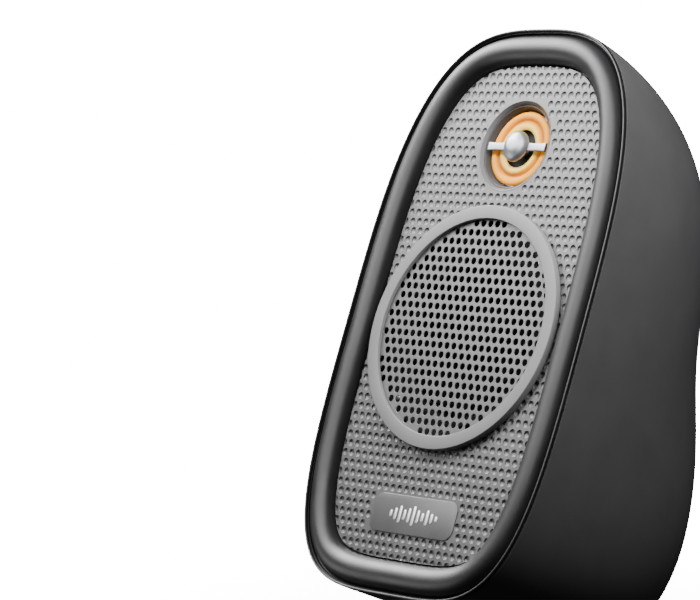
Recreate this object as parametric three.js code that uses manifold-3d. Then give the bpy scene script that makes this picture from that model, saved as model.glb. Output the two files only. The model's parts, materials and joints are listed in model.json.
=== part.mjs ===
// A compact two-way bookshelf speaker whose oval front leans back on a rounded pod.
// Millimetres, +Z up, the front faces -Y. Most pieces are drawn in the face frame:
// x to the right, y up the leaning face, z out of it, with the woofer's centre as origin.
import * as THREE from "three";
import { mergeVertices } from "three/addons/utils/BufferGeometryUtils.js";
import Module from "manifold-3d";

const wasm = await Module();
wasm.setup();

// Driving dimensions
const LEAN = THREE.MathUtils.degToRad(20.8);
const GAP = 0.3;
const RIM = { half: 54.6, top: 102, bottom: -89.5, waist: 6, topPower: 3, bottomPower: 3.9 };
const POD = {
  rearY: 86, rearZ: 4, wall: 2.5, baseZ: -95, landY: 82, mixPower: 2.8,
  start: { top: 9, side: 51, bottom: 93.5 },
  finish: { top: 0.62, side: 0.915, bottom: 1.55 },
  pull: { top: 0.76, side: 0.82, bottom: 1.25 },
};
const TUBE = { inset: 6.6, depth: -2.3, radius: 5.2, wall: 2, end: -16 };
const LIP = { thick: 0.8, height: 1.44, floor: -1, web: 1.2, back: -5.6 };
const PANEL = { inset: 12.2, front: -1.1, back: -3.3, wooferHole: 36.6, tweeterHole: 15.7 };
const BAFFLE = { inset: 6, front: -8, back: -11, wooferHole: 34.3, tweeterHole: 17 };
const TRIM = { outer: 41.1, inner: 36.6, rebate: 38.8, top: 1.4, back: -0.8 };
const GRILLE = { radius: 38.5, thick: 0.8 };
const BADGE = { width: 38.4, height: 12.6, corner: 3.5, x: 0.4, y: -62.7, front: -0.55, back: -0.8 };
const TWEETER_Y = 62.4;
const TOWERS = [[-25, 88], [25, 88], [-25, -70], [25, -70]];
const FEET = [[-17, 20], [17, 20], [-17, 52], [17, 52]];
const FOOT = { radius: 5, height: 3 };
const CUP = {
  halfWidth: 13, halfHeight: 16.5, depth: 11.9, wall: 1.5,
  flangeHalfWidth: 15, flangeHalfHeight: 22, flange: 2, screwX: 12.4, screwZ: 19.3,
};
const LEVER = { x: 5.6, width: 8.5, pivotY: 76, pivotZ: -7, hub: 2.6 };
const BOARD = { halfWidth: 16, bottom: -20, top: 19, front: 62, back: 63.6, postX: 10, postZ: 13 };
const FINE = 48;
const ROUND = 28;
const SMALL = 10;

const PLASTIC_BLACK = { color: 0x17181a, roughness: 0.42, metalness: 0 };
const GLOSS_BLACK = { color: 0x0f1012, roughness: 0.2, metalness: 0 };
const SILVER_PAINT = { color: 0xb4b6ba, roughness: 0.45, metalness: 0.3 };
const DARK_STEEL = { color: 0x202123, roughness: 0.45, metalness: 0.8 };
const ZINC = { color: 0xa6a8aa, roughness: 0.35, metalness: 1 };
const FERRITE = { color: 0x2b2b2d, roughness: 0.8, metalness: 0.1 };
const RUBBER = { color: 0x141414, roughness: 0.85, metalness: 0 };
const PAPER_BLACK = { color: 0x1b1b1c, roughness: 0.9, metalness: 0 };
const COPPER = { color: 0xb5672f, roughness: 0.35, metalness: 1 };
const BRASS = { color: 0xc2a04a, roughness: 0.35, metalness: 1 };
const ALUMINIUM = { color: 0xc9cbce, roughness: 0.28, metalness: 1 };
const AMBER = { color: 0xd9a437, roughness: 0.4, metalness: 0.1 };
const BOARD_GREEN = { color: 0x2c5a34, roughness: 0.6, metalness: 0 };
const RED = { color: 0xb3201c, roughness: 0.4, metalness: 0 };
const FELT = { color: 0xd8d5cc, roughness: 1, metalness: 0 };

// Solids and meshes
function solid(geometry) {
  const bare = geometry.clone();
  bare.deleteAttribute("normal");
  bare.deleteAttribute("uv");
  const merged = mergeVertices(bare, 1e-4);
  const mesh = new wasm.Mesh({
    numProp: 3,
    vertProperties: new Float32Array(merged.attributes.position.array),
    triVerts: new Uint32Array(merged.index.array),
  });
  return new wasm.Manifold(mesh);
}

function geometryOf(manifold) {
  const mesh = manifold.getMesh();
  const geometry = new THREE.BufferGeometry();
  geometry.setAttribute("position", new THREE.BufferAttribute(mesh.vertProperties, 3));
  geometry.setIndex(new THREE.BufferAttribute(mesh.triVerts, 1));
  geometry.computeVertexNormals();
  return geometry;
}

function volumeOf(geometry) {
  const spots = geometry.attributes.position;
  const index = geometry.index.array;
  const [a, b, c] = [new THREE.Vector3(), new THREE.Vector3(), new THREE.Vector3()];
  let total = 0;
  for (let i = 0; i < index.length; i += 3) {
    a.fromBufferAttribute(spots, index[i]);
    b.fromBufferAttribute(spots, index[i + 1]);
    c.fromBufferAttribute(spots, index[i + 2]);
    total += a.dot(b.cross(c)) / 6;
  }
  return total;
}

function facingOut(geometry) {
  if (volumeOf(geometry) < 0) {
    geometry.index.array.reverse();
  }
  geometry.computeVertexNormals();
  return geometry;
}

function surface(vertices, triangles) {
  const geometry = new THREE.BufferGeometry();
  geometry.setAttribute("position", new THREE.Float32BufferAttribute(vertices, 3));
  geometry.setIndex(triangles);
  return facingOut(geometry);
}

// A turned piece about z; the profile is a list of [radius, height].
function turned(profile, segments = ROUND) {
  const points = profile.map(([radius, height]) => new THREE.Vector2(radius, height));
  const onAxis = profile[0][0] === 0 && profile.at(-1)[0] === 0;
  if (!onAxis) {
    points.push(points[0].clone());
  }
  const lathe = new THREE.LatheGeometry(points, segments);
  lathe.rotateX(Math.PI / 2);
  lathe.deleteAttribute("normal");
  lathe.deleteAttribute("uv");
  return facingOut(mergeVertices(lathe, 1e-4));
}

function washer(inner, outer, low, high, segments = ROUND) {
  return turned([[inner, low], [outer, low], [outer, high], [inner, high]], segments);
}

function disc(radius, low, high, segments = ROUND) {
  return turned([[0, low], [radius, low], [radius, high], [0, high]], segments);
}

function extruded(shape, low, high, curveSegments = 12) {
  const geometry = new THREE.ExtrudeGeometry(shape, {
    depth: high - low, bevelEnabled: false, curveSegments,
  });
  return geometry.translate(0, 0, low);
}

function box(x0, x1, y0, y1, z0, z1) {
  const geometry = new THREE.BoxGeometry(x1 - x0, y1 - y0, z1 - z0);
  return geometry.translate((x0 + x1) / 2, (y0 + y1) / 2, (z0 + z1) / 2);
}

function roundedShape(halfWidth, halfHeight, corner) {
  const shape = new THREE.Shape();
  const [w, h] = [halfWidth - corner, halfHeight - corner];
  shape.absarc(w, h, corner, 0, Math.PI / 2);
  shape.absarc(-w, h, corner, Math.PI / 2, Math.PI);
  shape.absarc(-w, -h, corner, Math.PI, 1.5 * Math.PI);
  shape.absarc(w, -h, corner, 1.5 * Math.PI, 2 * Math.PI);
  return shape;
}

function arc(centre, radius, fromDegrees, toDegrees, steps) {
  return Array.from({ length: steps + 1 }, (_, i) => {
    const angle = THREE.MathUtils.degToRad(fromDegrees + ((toDegrees - fromDegrees) * i) / steps);
    return [centre[0] + radius * Math.cos(angle), centre[1] + radius * Math.sin(angle)];
  });
}

// The oval outline of the face
function outlinePoint(angle, inset) {
  const rim = (a) => {
    const [c, s] = [Math.cos(a), Math.sin(a)];
    const power = s > 0 ? RIM.topPower : RIM.bottomPower;
    const reach = (Math.abs(c) ** power + Math.abs(s) ** power) ** (-1 / power);
    const tall = s > 0 ? RIM.top - RIM.waist : RIM.waist - RIM.bottom;
    return new THREE.Vector2(RIM.half * reach * c, RIM.waist + tall * reach * s);
  };
  const step = 1e-3;
  const along = rim(angle + step).sub(rim(angle - step)).normalize();
  return rim(angle).add(new THREE.Vector2(-along.y, along.x).multiplyScalar(inset));
}

function outline(inset, segments = FINE) {
  return Array.from({ length: segments }, (_, i) => outlinePoint((2 * Math.PI * i) / segments, inset));
}

function facePlate(inset, low, high) {
  return extruded(new THREE.Shape(outline(inset)), low, high);
}

// A profile of [inset, height] carried around the outline
function rimSweep(profile, segments = FINE) {
  const vertices = [];
  const triangles = [];
  const count = profile.length;
  for (let i = 0; i < segments; i += 1) {
    for (const [inset, height] of profile) {
      const point = outlinePoint((2 * Math.PI * i) / segments, inset);
      vertices.push(point.x, point.y, height);
    }
    for (let j = 0; j < count; j += 1) {
      const [a, b] = [i * count + j, i * count + ((j + 1) % count)];
      const [c, d] = [((i + 1) % segments) * count + j, ((i + 1) % segments) * count + ((j + 1) % count)];
      triangles.push(a, c, b, b, c, d);
    }
  }
  return surface(vertices, triangles);
}

// The rounded pod behind the face, in the upright frame
function byHeight(values, angle) {
  const s = Math.sin(angle);
  const end = s > 0 ? values.top : values.bottom;
  return values.side + (end - values.side) * Math.abs(s) ** POD.mixPower;
}

function podMeridian(angle, inset) {
  const flat = outlinePoint(angle, inset);
  const start = new THREE.Vector3(flat.x, flat.y * Math.sin(LEAN), flat.y * Math.cos(LEAN));
  const back = new THREE.Vector3(0, Math.cos(LEAN), -Math.sin(LEAN));
  const pole = new THREE.Vector3(0, POD.rearY - inset, POD.rearZ);
  const leave = start.clone().addScaledVector(back, byHeight(POD.start, angle));
  const spread = new THREE.Vector3(start.x, 0, start.z - pole.z);
  const arrive = pole.clone().addScaledVector(spread, byHeight(POD.finish, angle));
  const pull = byHeight(POD.pull, angle);
  return (t) => {
    const weights = [(1 - t) ** 3, 3 * pull * (1 - t) ** 2 * t, 3 * pull * (1 - t) * t ** 2, t ** 3];
    const point = new THREE.Vector3();
    [start, leave, arrive, pole].forEach((corner, i) => point.addScaledVector(corner, weights[i]));
    return point.divideScalar(weights.reduce((sum, w) => sum + w, 0));
  };
}

function podSolid(inset, around = 48, along = 12) {
  const vertices = [0, outlinePoint(0, 0).y * Math.sin(LEAN), outlinePoint(0, 0).y * Math.cos(LEAN)];
  const triangles = [];
  const spot = (ring, i) => 1 + ring * around + (i % around);
  for (let ring = 0; ring < along; ring += 1) {
    for (let i = 0; i < around; i += 1) {
      const point = podMeridian((2 * Math.PI * i) / around, inset)(ring / along);
      vertices.push(point.x, point.y, point.z);
    }
  }
  const pole = podMeridian(0, inset)(1);
  vertices.push(pole.x, pole.y, pole.z);
  const last = 1 + along * around;
  for (let i = 0; i < around; i += 1) {
    triangles.push(0, spot(0, i), spot(0, i + 1));
    for (let ring = 0; ring < along - 1; ring += 1) {
      triangles.push(spot(ring, i), spot(ring + 1, i), spot(ring, i + 1));
      triangles.push(spot(ring, i + 1), spot(ring + 1, i), spot(ring + 1, i + 1));
    }
    triangles.push(spot(along - 1, i), last, spot(along - 1, i + 1));
  }
  const trimmed = solid(surface(vertices, triangles));
  const below = solid(box(-90, 90, -90, 140, -200, POD.baseZ + inset));
  const behind = solid(box(-90, 90, POD.landY - inset, 140, -200, 200));
  return trimmed.subtract(below).subtract(behind);
}

const faceMatrix = new THREE.Matrix4().makeRotationX(Math.PI / 2 - LEAN);
const sideways = new THREE.Matrix4().makeBasis(
  new THREE.Vector3(0, 1, 0), new THREE.Vector3(0, 0, 1), new THREE.Vector3(1, 0, 0),
);
const rearward = new THREE.Matrix4().makeRotationX(-Math.PI / 2);

function upright(geometry) {
  return geometry.clone().applyMatrix4(faceMatrix);
}

// A turned or extruded piece whose axis points to the rear (+Y), at x and z
function rearPiece(geometry, x, z) {
  return geometry.applyMatrix4(rearward).translate(x, 0, z);
}

// Scene
const speaker = new THREE.Group();
const face = new THREE.Group();
face.rotation.x = Math.PI / 2 - LEAN;
speaker.add(face);

function place(parent, name, geometry, finish) {
  const mesh = new THREE.Mesh(geometry, new THREE.MeshStandardMaterial(finish));
  mesh.name = name;
  parent.add(mesh);
}

function bodyShell() {
  const outer = podSolid(0);
  let shell = outer.subtract(podSolid(POD.wall, 36, 10));
  shell = shell.subtract(solid(upright(facePlate(0.9, LIP.back - GAP, 4))));
  for (const [x, y] of TOWERS) {
    const post = disc(3.5, -90, BAFFLE.back - GAP, SMALL).translate(x, y, 0);
    const bore = disc(1.7, -24, BAFFLE.back + 1, SMALL).translate(x, y, 0);
    const tower = solid(upright(post)).intersect(outer);
    shell = shell.add(tower).subtract(solid(upright(bore)));
  }
  const mouth = box(-CUP.halfWidth - GAP, CUP.halfWidth + GAP, 70, 90,
    -CUP.halfHeight - GAP, CUP.halfHeight + GAP);
  shell = shell.subtract(solid(mouth));
  for (const x of [-CUP.screwX, CUP.screwX]) {
    for (const z of [-CUP.screwZ, CUP.screwZ]) {
      shell = shell.subtract(solid(rearPiece(disc(1.5, 70, 90, SMALL), x, z)));
    }
  }
  return geometryOf(shell);
}

function frontBezel() {
  const centre = [TUBE.inset, TUBE.depth];
  const meet = THREE.MathUtils.radToDeg(Math.asin((LIP.floor - TUBE.depth) / TUBE.radius));
  const profile = [
    [0, GAP], [0, 1.1], [0.2, LIP.height], [0.6, LIP.height], [LIP.thick, 1.1],
    [LIP.thick, LIP.floor],
    ...arc(centre, TUBE.radius, 180 - meet, TUBE.end, 9),
    [16, PANEL.back - GAP], [16, LIP.back],
    ...arc(centre, TUBE.radius - TUBE.wall, -25, 205, 5),
    [LIP.web + 2.4, LIP.back], [LIP.web, LIP.back], [LIP.web, GAP],
  ];
  return rimSweep(profile);
}

function facePanel() {
  let panel = solid(facePlate(PANEL.inset, PANEL.back, PANEL.front));
  panel = panel.subtract(solid(disc(PANEL.wooferHole, -9, 9, FINE)));
  panel = panel.subtract(solid(disc(PANEL.tweeterHole, -9, 9).translate(0, TWEETER_Y, 0)));
  return geometryOf(panel);
}

function innerBaffle() {
  let plate = solid(facePlate(BAFFLE.inset, BAFFLE.back, BAFFLE.front));
  plate = plate.subtract(solid(disc(BAFFLE.wooferHole, -20, 0, FINE)));
  plate = plate.subtract(solid(disc(BAFFLE.tweeterHole, -20, 0).translate(0, TWEETER_Y, 0)));
  for (const [x, y] of TOWERS) {
    plate = plate.subtract(solid(disc(1.7, -20, 0, SMALL).translate(x, y, 0)));
  }
  return geometryOf(plate);
}

// A pan-head screw along z with the underside of its head at seat
function screw(seat, headRadius, headHeight, shank, length) {
  const top = seat + headHeight;
  const shoulder = seat + headHeight * 0.45;
  const head = [[0, top], [headRadius * 0.7, top], [headRadius, shoulder], [headRadius, seat]];
  return turned([...head, [shank, seat], [shank, seat - length], [0, seat - length - shank / 2]], SMALL);
}

function baffleScrews() {
  TOWERS.forEach(([x, y], i) => {
    const geometry = screw(BAFFLE.front + GAP, 3.1, 1.8, 1.4, 12).translate(x, y, 0);
    place(face, `baffle_screw_${i + 1}`, geometry, ZINC);
  });
}

function frontTrim() {
  const ring = [
    [TRIM.inner, GAP], [TRIM.inner, TRIM.top - 0.3], [TRIM.inner + 0.3, TRIM.top],
    [TRIM.outer - 0.4, TRIM.top], [TRIM.outer, TRIM.top - 0.4], [TRIM.outer, TRIM.back],
    [TRIM.rebate, TRIM.back], [TRIM.rebate, GAP],
  ];
  place(face, "woofer_trim_ring", turned(ring, FINE), SILVER_PAINT);
  place(face, "woofer_grille", disc(GRILLE.radius, -GRILLE.thick, 0, FINE), DARK_STEEL);
  const badge = roundedShape(BADGE.width / 2, BADGE.height / 2, BADGE.corner);
  const plate = extruded(badge, BADGE.back, BADGE.front, 5).translate(BADGE.x, BADGE.y, 0);
  place(face, "name_badge", plate, SILVER_PAINT);
}

// Woofer, with its axis on the face frame's z
function wooferBasket() {
  const frame = turned([
    [36.8, -4.4], [31, -4.4], [31, -10], [20.6, -28.4], [12, -28.4], [12, -30], [22.6, -30],
    [22.6, -28], [33.4, -10], [33.8, -6.2], [36.8, -6.2],
  ], 36);
  let basket = solid(frame);
  for (let i = 0; i < 4; i += 1) {
    const turn = Math.PI / 4 + (i * Math.PI) / 2;
    const window = box(15, 40, -11, 11, -26.5, -11.5).rotateZ(turn);
    basket = basket.subtract(solid(window));
    const hole = disc(1.3, -9, 0, SMALL).translate(34.4, 0, 0).rotateZ(turn);
    basket = basket.subtract(solid(hole));
  }
  return geometryOf(basket);
}

function wooferScrews() {
  for (let i = 0; i < 4; i += 1) {
    const geometry = screw(-4.1, 1.8, 1.2, 1, 1.5).translate(34.4, 0, 0);
    geometry.rotateZ(Math.PI / 4 + (i * Math.PI) / 2);
    place(face, `woofer_screw_${i + 1}`, geometry, ZINC);
  }
}

function wooferSurround() {
  const centre = [28.5, -4];
  const under = arc(centre, 2.5, 180, 360, 5);
  const over = arc([28.5, -3.6], 2.1, 360, 180, 5);
  return turned([...under, [32.4, -4], [32.4, -3.6], ...over, [26, -3.6]], 36);
}

function wooferSpider() {
  const steps = 8;
  const height = (i) => -25 + (i % 2 ? 0.6 : -0.6);
  const radius = (i) => 11.4 + (10.6 * i) / steps;
  const low = Array.from({ length: steps + 1 }, (_, i) => [radius(i), height(i) - 0.2]);
  const high = low.map(([r, h]) => [r, h + 0.4]).reverse();
  return turned([...low, ...high], 32);
}

function woofer() {
  place(face, "woofer_basket", wooferBasket(), DARK_STEEL);
  place(face, "woofer_gasket", washer(34.4, 36.6, -7.7, -6.5, 36), RUBBER);
  place(face, "woofer_surround", wooferSurround(), RUBBER);
  const cone = [[25.7, -4], [25.7, -4.7], [10.7, -15.8], [10.7, -15.1]];
  place(face, "woofer_cone", turned(cone, 36), PAPER_BLACK);
  const cap = [...arc([0, -23.6], 15.6, 40, 90, 3).slice(0, -1), [0, -8],
    [0, -8.5], ...arc([0, -23.6], 15.1, 90, 40, 3).slice(1)];
  place(face, "woofer_dust_cap", turned(cap), PAPER_BLACK);
  const coil = [[9.9, -15.2], [9.9, -33.5], [10.8, -33.5], [10.8, -28.7], [10.3, -28.7], [10.3, -15.2]];
  place(face, "woofer_voice_coil", turned(coil), COPPER);
  place(face, "woofer_spider", wooferSpider(), FELT);
  place(face, "woofer_top_plate", washer(11.4, 22, -34.3, -30.3), ZINC);
  place(face, "woofer_magnet", washer(14, 25, -43.6, -34.6), FERRITE);
  const yoke = [[0, -29.5], [9.3, -29.5], [9.3, -43.9], [22, -43.9], [22, -47.9], [0, -47.9]];
  place(face, "woofer_yoke", turned(yoke), ZINC);
  place(face, "woofer_terminal_strip", box(-7, 7, 29.4, 31, -24, -18), BRASS);
  wooferScrews();
}

function tweeter() {
  const add = (name, geometry, finish) => place(face, name, geometry.translate(0, TWEETER_Y, 0), finish);
  const housing = [
    [15.4, -0.9], [15, -0.9], [13.3, -3], [13.3, -7.9], [15.4, -7.9], [15.4, -5.6],
    [20, -5.6], [20, -3.6], [15.4, -3.6],
  ];
  add("tweeter_housing", turned(housing, 36), PLASTIC_BLACK);
  const ring = [
    [6.3, -3.8], [6.3, -3.6], [7.6, -3.2], [8.7, -3.4], [9.6, -4.2], [10.5, -3.4], [11.5, -3.2],
    [12.7, -3.5], [12.7, -3.8], [10.6, -3.8], [9.6, -4.6], [8.6, -3.8],
  ];
  add("tweeter_diaphragm", turned(ring, 32), AMBER);
  add("tweeter_voice_coil", washer(9.4, 9.9, -9, -4.9), COPPER);
  add("tweeter_bridge", tweeterBridge(), ALUMINIUM);
  add("tweeter_plate", washer(10.5, 15, -10.2, -8.2), ZINC);
  add("tweeter_magnet", washer(11, 16, -15.5, -10.5), FERRITE);
  const yoke = [[2.2, -6], [8.8, -6], [8.8, -15.8], [15, -15.8], [15, -18.3], [2.2, -18.3]];
  add("tweeter_yoke", turned(yoke), ZINC);
  const front = BAFFLE.back - GAP;
  const cap = [
    [0, -20], [17, -20], [17, front], [20, front], [20, -13], [18.6, -13], [18.6, -21.5], [0, -21.5],
  ];
  add("tweeter_rear_cap", turned(cap), PLASTIC_BLACK);
}

// The plug in the middle of the tweeter, its post and the bar that crosses in front of the ring
function tweeterBridge() {
  const dome = arc([0, -6.6], 7.6, 43, 90, 5);
  const plug = turned([[0, -9], [1.8, -9], [1.8, -1.5], [5.6, -1.5], ...dome.slice(0, -1), [0, 1]], 24);
  const bar = box(-13.05, 13.05, -1.45, 1.45, -2.85, -1.75);
  return geometryOf(solid(plug).add(solid(bar)));
}

// Rear terminal cup
function terminalCup() {
  const rear = POD.landY + GAP;
  const floor = POD.landY - CUP.depth + 0.3;
  const flange = extruded(roundedShape(CUP.flangeHalfWidth, CUP.flangeHalfHeight, 4),
    rear, rear + CUP.flange, 4);
  const insideX = CUP.halfWidth - CUP.wall;
  const insideZ = CUP.halfHeight - CUP.wall;
  let cup = solid(rearPiece(flange, 0, 0));
  const body = box(-CUP.halfWidth, CUP.halfWidth, floor, rear + 0.5, -CUP.halfHeight, CUP.halfHeight);
  cup = cup.add(solid(body));
  for (const x of [-BOARD.postX, BOARD.postX]) {
    for (const z of [-BOARD.postZ, BOARD.postZ]) {
      cup = cup.add(solid(rearPiece(disc(2.2, BOARD.back + GAP, floor + 0.5, SMALL), x, z)));
      cup = cup.add(solid(rearPiece(disc(1, BOARD.front - 0.6, floor + 0.5, SMALL), x, z)));
    }
  }
  cup = cup.subtract(solid(box(-insideX, insideX, floor + 1.6, 99, -insideZ, insideZ)));
  for (const side of [-1, 1]) {
    const x = side * LEVER.x;
    cup = cup.subtract(solid(box(x - 2.4, x + 2.4, 60, 99, -12.8, -11.2)));
    for (const z of [-CUP.screwZ, CUP.screwZ]) {
      cup = cup.subtract(solid(rearPiece(disc(1.4, 70, 99, SMALL), side * CUP.screwX, z)));
    }
  }
  return geometryOf(cup);
}

function lever(x) {
  const shape = new THREE.Shape();
  shape.absarc(0, 0, LEVER.hub, Math.PI * 0.9, Math.PI * 2.05);
  shape.lineTo(5.2, 15.6);
  shape.lineTo(4.6, 17);
  shape.lineTo(2.2, 17);
  const bore = disc(1.3, -20, 20, SMALL);
  const arm = extruded(shape, -LEVER.width / 2, LEVER.width / 2, 8);
  const cut = solid(arm).subtract(solid(bore));
  const geometry = geometryOf(cut).applyMatrix4(sideways);
  return geometry.translate(x, LEVER.pivotY, LEVER.pivotZ);
}

function contact(x) {
  const shape = new THREE.Shape([
    [BOARD.back + GAP, -12.4], [75.4, -12.4], [75.4, -10.3], [74.6, -10.3], [74.6, -11.6],
    [BOARD.back + GAP, -11.6],
  ].map(([y, z]) => new THREE.Vector2(y, z)));
  return extruded(shape, x - 2, x + 2).applyMatrix4(sideways);
}

function terminals() {
  place(speaker, "terminal_cup", terminalCup(), PLASTIC_BLACK);
  const reach = CUP.halfWidth - CUP.wall - GAP;
  const axle = disc(1, -reach, reach, SMALL).applyMatrix4(sideways);
  place(speaker, "terminal_axle", axle.translate(0, LEVER.pivotY, LEVER.pivotZ), ZINC);
  place(speaker, "terminal_lever_red", lever(-LEVER.x), RED);
  place(speaker, "terminal_lever_black", lever(LEVER.x), GLOSS_BLACK);
  place(speaker, "terminal_contact_red", contact(-LEVER.x), BRASS);
  place(speaker, "terminal_contact_black", contact(LEVER.x), BRASS);
  let number = 1;
  for (const x of [-CUP.screwX, CUP.screwX]) {
    for (const z of [-CUP.screwZ, CUP.screwZ]) {
      const seat = POD.landY + CUP.flange + 2 * GAP;
      place(speaker, `terminal_screw_${number}`, rearPiece(screw(seat, 2, 1.2, 1.1, 7), x, z), ZINC);
      number += 1;
    }
  }
  const plate = extruded(roundedShape(10, 4.5, 1), POD.landY + GAP, POD.landY + 0.8, 3);
  place(speaker, "rating_plate", rearPiece(plate, 0, -30.5), ALUMINIUM);
}

// Crossover, wiring and damping inside the pod
function crossover() {
  const sheet = box(-BOARD.halfWidth, BOARD.halfWidth, BOARD.front, BOARD.back, BOARD.bottom, BOARD.top);
  let board = solid(sheet);
  for (const x of [-BOARD.postX, BOARD.postX]) {
    for (const z of [-BOARD.postZ, BOARD.postZ]) {
      board = board.subtract(solid(rearPiece(disc(1.4, 60, 66, SMALL), x, z)));
    }
  }
  place(speaker, "crossover_board", geometryOf(board), BOARD_GREEN);
  const capacitor = disc(4.2, -8, 8, 24).rotateY(Math.PI / 2).translate(0, BOARD.front - 4.5, -15);
  place(speaker, "crossover_capacitor", capacitor, GLOSS_BLACK);
  const winding = turned([[2.5, 54.6], [6.5, 54.6], [6.5, 61.7], [2.5, 61.7]], 24);
  place(speaker, "crossover_coil", rearPiece(winding, 0, 6), COPPER);
}

function wire(name, points, finish) {
  const path = new THREE.CatmullRomCurve3(points.map(([x, y, z]) => new THREE.Vector3(x, y, z)));
  const section = new THREE.Shape(arc([0, 0], 0.8, 0, 300, 5).map(([a, b]) => new THREE.Vector2(a, b)));
  const options = { steps: 14, bevelEnabled: false, extrudePath: path };
  const geometry = new THREE.ExtrudeGeometry(section, options);
  place(speaker, name, geometry, finish);
}

function wiring() {
  for (const [side, colour, finish] of [[-1, "red", RED], [1, "black", GLOSS_BLACK]]) {
    wire(`woofer_wire_${colour}`, [
      [side * 4, 33.6, 19.3], [side * 5, 42, 17.5], [side * 9, 52, 16.5], [side * 11, 61.6, 16.8],
    ], finish);
    wire(`tweeter_wire_${colour}`, [
      [side * 4, 43, 50.2], [side * 5, 50, 45], [side * 8, 57, 36], [side * 14, 60, 26],
      [side * 14, 60.8, 15],
    ], finish);
  }
}

function dampingPad() {
  const layer = podSolid(POD.wall + 0.8, 36, 10).subtract(podSolid(9, 36, 10));
  return geometryOf(layer.intersect(solid(box(-17, 17, 52, 90, 24, 90))));
}

function feet() {
  FEET.forEach(([x, y], i) => {
    const top = POD.baseZ - GAP;
    const profile = [
      [0, top], [FOOT.radius, top], [FOOT.radius - 0.3, top - FOOT.height + 0.5],
      [FOOT.radius - 0.8, top - FOOT.height], [0, top - FOOT.height],
    ];
    place(speaker, `rubber_foot_${i + 1}`, turned(profile, 24).translate(x, y, 0), RUBBER);
  });
}

place(speaker, "body_shell", bodyShell(), PLASTIC_BLACK);
place(face, "front_bezel", frontBezel(), GLOSS_BLACK);
place(face, "face_panel", facePanel(), SILVER_PAINT);
place(face, "inner_baffle", innerBaffle(), PLASTIC_BLACK);
baffleScrews();
frontTrim();
woofer();
tweeter();
terminals();
crossover();
wiring();
place(speaker, "damping_pad", dampingPad(), FELT);
feet();

// The part's origin is the middle of its footprint, on the surface it stands on.
const bounds = new THREE.Box3().setFromObject(speaker, true);
const middle = bounds.getCenter(new THREE.Vector3());
speaker.position.set(-middle.x, -middle.y, -bounds.min.z);

export default speaker;
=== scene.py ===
"""Looks for a compact two-way bookshelf speaker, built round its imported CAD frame.

Lengths are millimetres in two drawing frames that share the woofer's centre as origin:
FACE has x to the right, y up the leaning front and z out of it, and UPRIGHT has z up.
"""

import json
import math

import bpy
import bmesh
import numpy as np
from mathutils import Matrix, Vector


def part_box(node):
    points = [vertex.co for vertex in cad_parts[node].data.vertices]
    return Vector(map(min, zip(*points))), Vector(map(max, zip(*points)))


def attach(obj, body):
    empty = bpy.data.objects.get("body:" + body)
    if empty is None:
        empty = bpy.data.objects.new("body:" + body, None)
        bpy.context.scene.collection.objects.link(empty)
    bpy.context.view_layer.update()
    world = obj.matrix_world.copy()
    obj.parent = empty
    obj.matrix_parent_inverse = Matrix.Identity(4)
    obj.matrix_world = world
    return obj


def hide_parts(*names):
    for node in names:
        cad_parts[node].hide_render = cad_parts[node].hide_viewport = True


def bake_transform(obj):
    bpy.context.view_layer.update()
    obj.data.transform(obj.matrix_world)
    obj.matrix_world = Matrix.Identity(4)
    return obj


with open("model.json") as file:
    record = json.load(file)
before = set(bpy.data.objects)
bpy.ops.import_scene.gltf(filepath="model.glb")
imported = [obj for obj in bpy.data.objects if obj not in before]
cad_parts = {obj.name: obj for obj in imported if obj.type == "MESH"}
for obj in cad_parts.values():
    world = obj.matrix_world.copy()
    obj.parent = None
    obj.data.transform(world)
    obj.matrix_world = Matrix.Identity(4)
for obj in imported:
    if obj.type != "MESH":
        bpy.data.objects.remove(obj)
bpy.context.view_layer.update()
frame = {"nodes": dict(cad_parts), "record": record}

# Driving dimensions
PITCH = 3.2
HOLE = 1.15
RIM = dict(half=54.6, top=102, bottom=-89.5, waist=6, top_power=3.0, bottom_power=3.9)
POD = dict(
    rear_y=86, rear_z=4, base_z=-95, land_y=82, mix_power=2.8, wall=2.2, round_over=1.1,
    start=(9, 51, 93.5), finish=(0.62, 0.915, 1.55), pull=(0.76, 0.82, 1.25),
)
TUBE = dict(inset=6.6, depth=-2.3, radius=5.2, end=-16)
PANEL = dict(
    inset=12.2, front=-1.1, back=-3.3, bowl=0.6, ring_hole=37.2, tweeter_hole=15.7, plain=16.6,
)
TRIM = dict(outer=41.1, inner=36.6, rebate=38.8, top=1.4, back=-0.8)
BADGE = dict(width=38.4, height=12.6, corner=3.5, x=0.4, y=-62.7, front=-0.78, back=-1.0)
CUP = dict(half_w=13, half_h=16.5, floor=71.9, flange_w=15, flange_h=22, flange=2, wall=1.5)
TWEETER_Y = 62.4
TERMINAL_SCREW = (12.4, 19.3)
MAGNET_MIDDLE = 39.1
CREASE = 35

joints = {joint["name"]: joint for joint in frame["record"]["behaviour"]["joints"]}
OUT = Vector(joints["woofer_stroke"]["axis"]).normalized()
UP_FACE = Vector((0, OUT.z, -OUT.y))
magnet_low, magnet_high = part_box("woofer_magnet")
CENTRE = (magnet_low + magnet_high) / 2 + OUT * MAGNET_MIDDLE / 1000


def frame_matrix(x, y, z):
    turn = Matrix((x, y, z)).transposed().to_4x4()
    return Matrix.Translation(CENTRE) @ turn @ Matrix.Scale(0.001, 4)


FACE = frame_matrix(Vector((1, 0, 0)), UP_FACE, OUT)
UPRIGHT = frame_matrix(Vector((1, 0, 0)), Vector((0, 1, 0)), Vector((0, 0, 1)))
REARWARD = UPRIGHT @ Matrix.Rotation(-math.pi / 2, 4, "X")
TWEETER = FACE @ Matrix.Translation((0, TWEETER_Y, 0))


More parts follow.
